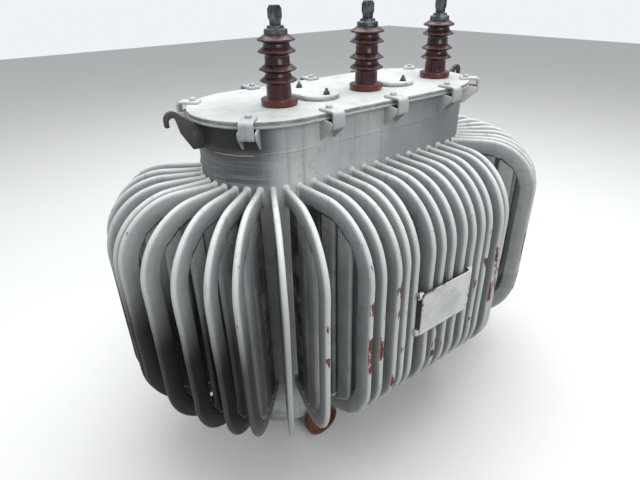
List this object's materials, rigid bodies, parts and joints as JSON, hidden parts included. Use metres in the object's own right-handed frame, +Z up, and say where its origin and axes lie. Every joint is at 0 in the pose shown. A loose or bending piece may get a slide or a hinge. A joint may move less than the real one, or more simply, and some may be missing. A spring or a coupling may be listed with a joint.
{
  "type": "power transformer",
  "caption": "Oil-filled power transformer with a round-ended tank, bent tubular cooling fins all round, porcelain bushings on the lid and roller wheels.",
  "frame": {"origin": "on the ground, under the middle of the bounding box", "axes": "+X along the tank, -Y the front that carries the plate, +Z up"},
  "size_m": [1.727, 1.1116, 1.5392],
  "materials": {
    "grey_paint": "weathered light grey oil paint with red primer showing at chips",
    "lid_paint": "weathered off-white paint",
    "porcelain": "glossy dark maroon glaze",
    "terminal_metal": "dull blue-grey metal",
    "black_rubber": "matt oil-resistant rubber",
    "rusty_iron": "reddish-brown rust",
    "plate_enamel": "pale enamel, worn and rusty at the edges"
  },
  "bodies": {
    "transformer": {"base_beam_left": "grey_paint", "base_beam_right": "grey_paint", "bushing_1": "porcelain", "bushing_2": "porcelain", "bushing_3": "porcelain", "bushing_cap_1": "terminal_metal", "bushing_cap_2": "terminal_metal", "bushing_cap_3": "terminal_metal", "cover_gasket_1": "black_rubber", "cover_gasket_2": "black_rubber", "front_wall": "grey_paint", "inspection_cover_1": "lid_paint", "inspection_cover_2": "lid_paint", "left_end_wall": "grey_paint", "lid": "lid_paint", "lid_clamp_01": "grey_paint", "lid_clamp_02": "grey_paint", "lid_clamp_03": "grey_paint", "lid_clamp_04": "grey_paint", "lid_clamp_05": "grey_paint", "lid_clamp_06": "grey_paint", "lid_clamp_07": "grey_paint", "lid_clamp_08": "grey_paint", "lid_clamp_09": "grey_paint", "lid_clamp_10": "grey_paint", "lid_gasket": "black_rubber", "lifting_hook_left": "grey_paint", "lifting_hook_right": "grey_paint", "nameplate": "plate_enamel", "nameplate_tray": "grey_paint", "rear_wall": "grey_paint", "right_end_wall": "grey_paint", "tank_bottom": "grey_paint", "tank_rim": "grey_paint", "terminal_1": "terminal_metal", "terminal_2": "terminal_metal", "terminal_3": "terminal_metal"},
    "front_left_wheel": {"wheel_front_left": "rusty_iron"},
    "front_right_wheel": {"wheel_front_right": "rusty_iron"},
    "rear_left_wheel": {"wheel_rear_left": "rusty_iron"},
    "rear_right_wheel": {"wheel_rear_right": "rusty_iron"}
  },
  "joints": [
    {"name": "front_left_wheel_spin", "type": "hinge", "parent": "transformer", "child": "front_left_wheel", "pos_m": [-0.306, -0.2365, 0.0675], "axis": [0, 1, 0], "continuous": true},
    {"name": "front_right_wheel_spin", "type": "hinge", "parent": "transformer", "child": "front_right_wheel", "pos_m": [0.306, -0.2365, 0.0675], "axis": [0, 1, 0], "continuous": true},
    {"name": "rear_left_wheel_spin", "type": "hinge", "parent": "transformer", "child": "rear_left_wheel", "pos_m": [-0.306, 0.2581, 0.0675], "axis": [0, 1, 0], "continuous": true},
    {"name": "rear_right_wheel_spin", "type": "hinge", "parent": "transformer", "child": "rear_right_wheel", "pos_m": [0.306, 0.2581, 0.0675], "axis": [0, 1, 0], "continuous": true}
  ]
}
